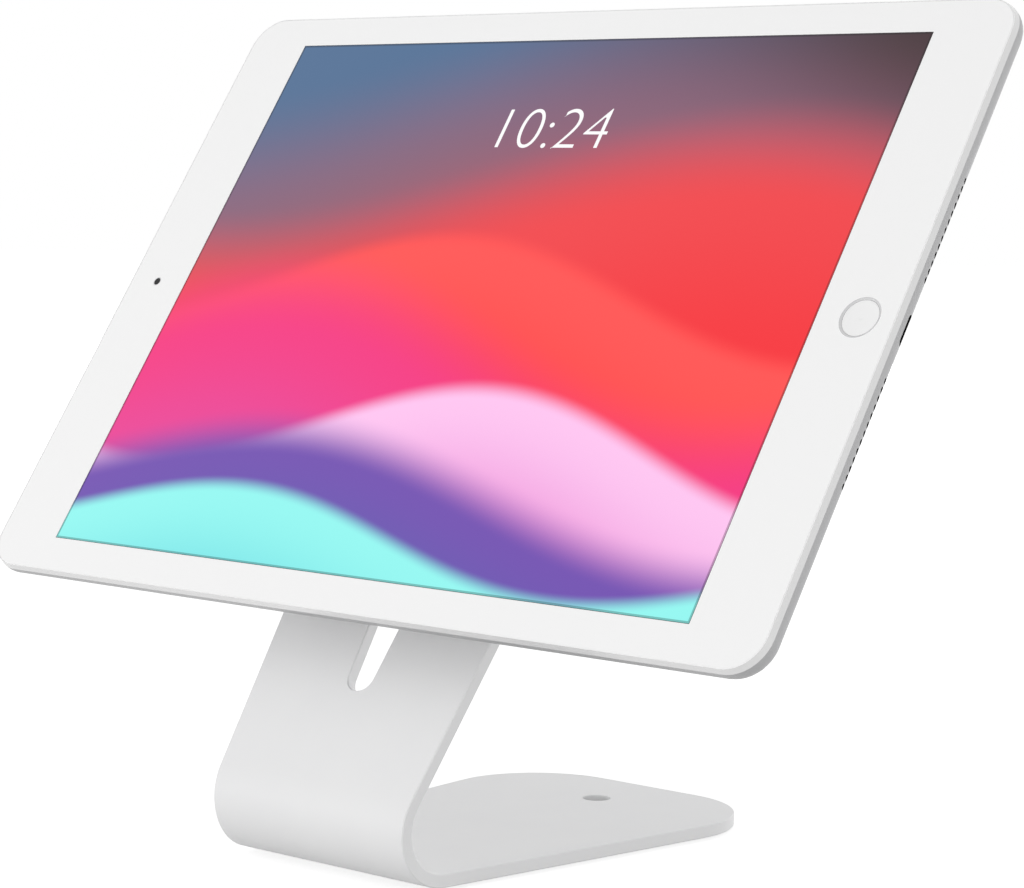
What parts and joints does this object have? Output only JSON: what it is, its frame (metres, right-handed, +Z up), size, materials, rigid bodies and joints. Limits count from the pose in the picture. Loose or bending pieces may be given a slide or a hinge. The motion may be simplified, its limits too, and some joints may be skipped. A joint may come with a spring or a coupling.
{
  "type": "tablet security kiosk stand",
  "caption": "Folded aluminium counter stand with a swivel hub that carries a slate tablet in landscape, bolted down through its base.",
  "frame": {"origin": "on the counter under the middle of the stand's length and width", "axes": "+X to the right of someone facing the screen, +Y to the rear, +Z up; the screen faces -Y and leans back"},
  "size_m": [0.2509, 0.1264, 0.2066],
  "materials": {
    "anodised_plate": "bead blasted and clear anodised",
    "foot_rubber": "moulded silicone rubber",
    "hub_metal": "turned and anodised",
    "fastener_steel": "plain stainless steel",
    "washer_plastic": "natural acetal",
    "cap_plastic": "moulded grey plastic",
    "foam_tape": "closed cell foam",
    "tablet_shell": "bead blasted and clear anodised",
    "cover_glass": "polished, white printed border",
    "gasket_plastic": "moulded frame",
    "display_layers": "dark display glass",
    "diffuser_plastic": "white diffuser stack",
    "button_glass": "polished white",
    "button_ring": "diamond cut",
    "switch_plastic": "moulded",
    "sheet_steel": "pressed sheet",
    "lens_glass": "coated lens window",
    "cell_foil": "laminated pouch foil",
    "board_laminate": "coated board",
    "flex_film": "polyimide film"
  },
  "bodies": {
    "stand": {"folded_stand": "anodised_plate", "foot_pads": "foot_rubber", "hub_base": "hub_metal", "hub_base_screws": "fastener_steel", "stop_pin": "fastener_steel", "friction_washer": "washer_plastic", "pivot_bolt": "fastener_steel", "back_washer": "fastener_steel", "spring_washers": "fastener_steel", "lock_nut": "fastener_steel", "hub_cap": "cap_plastic"},
    "tablet": {"hub_rotor": "hub_metal", "mount_plate": "hub_metal", "plate_screws": "fastener_steel", "adhesive_pad": "foam_tape", "rear_housing": "tablet_shell", "glass_gasket": "gasket_plastic", "front_glass": "cover_glass", "display_panel": "display_layers", "backlight_unit": "diffuser_plastic", "home_ring": "button_ring", "home_switch": "switch_plastic", "home_bracket": "sheet_steel", "connector_port": "sheet_steel", "upper_speaker": "switch_plastic", "lower_speaker": "switch_plastic", "audio_socket": "switch_plastic", "front_camera": "switch_plastic", "rear_camera": "switch_plastic", "rear_camera_ring": "tablet_shell", "rear_camera_window": "lens_glass", "battery_cells": "cell_foil", "logic_board": "board_laminate", "board_shields": "sheet_steel", "display_flex": "flex_film", "power_switch": "switch_plastic", "volume_up_switch": "switch_plastic", "volume_down_switch": "switch_plastic"},
    "home_button": {"home_button": "button_glass"},
    "power_button": {"power_button": "tablet_shell"},
    "volume_up_button": {"volume_up_button": "tablet_shell"},
    "volume_down_button": {"volume_down_button": "tablet_shell"}
  },
  "joints": [
    {"name": "tablet_swivel", "type": "hinge", "parent": "stand", "child": "tablet", "pos_m": [0, 0.00701, 0.12374], "axis": [0, 0.831, -0.5563], "range_deg": [0, 90]},
    {"name": "home_press", "type": "slide", "parent": "tablet", "child": "home_button", "axis": [0, 0.831, -0.5563], "range_m": [0, 0.00025], "stiffness_N_per_m": 2000},
    {"name": "power_press", "type": "slide", "parent": "tablet", "child": "power_button", "axis": [1, 0, 0], "range_m": [0, 0.00035], "stiffness_N_per_m": 2000},
    {"name": "volume_up_press", "type": "slide", "parent": "tablet", "child": "volume_up_button", "axis": [0, -0.5563, -0.831], "range_m": [0, 0.00035], "stiffness_N_per_m": 2000},
    {"name": "volume_down_press", "type": "slide", "parent": "tablet", "child": "volume_down_button", "axis": [0, -0.5563, -0.831], "range_m": [0, 0.00035], "stiffness_N_per_m": 2000}
  ]
}
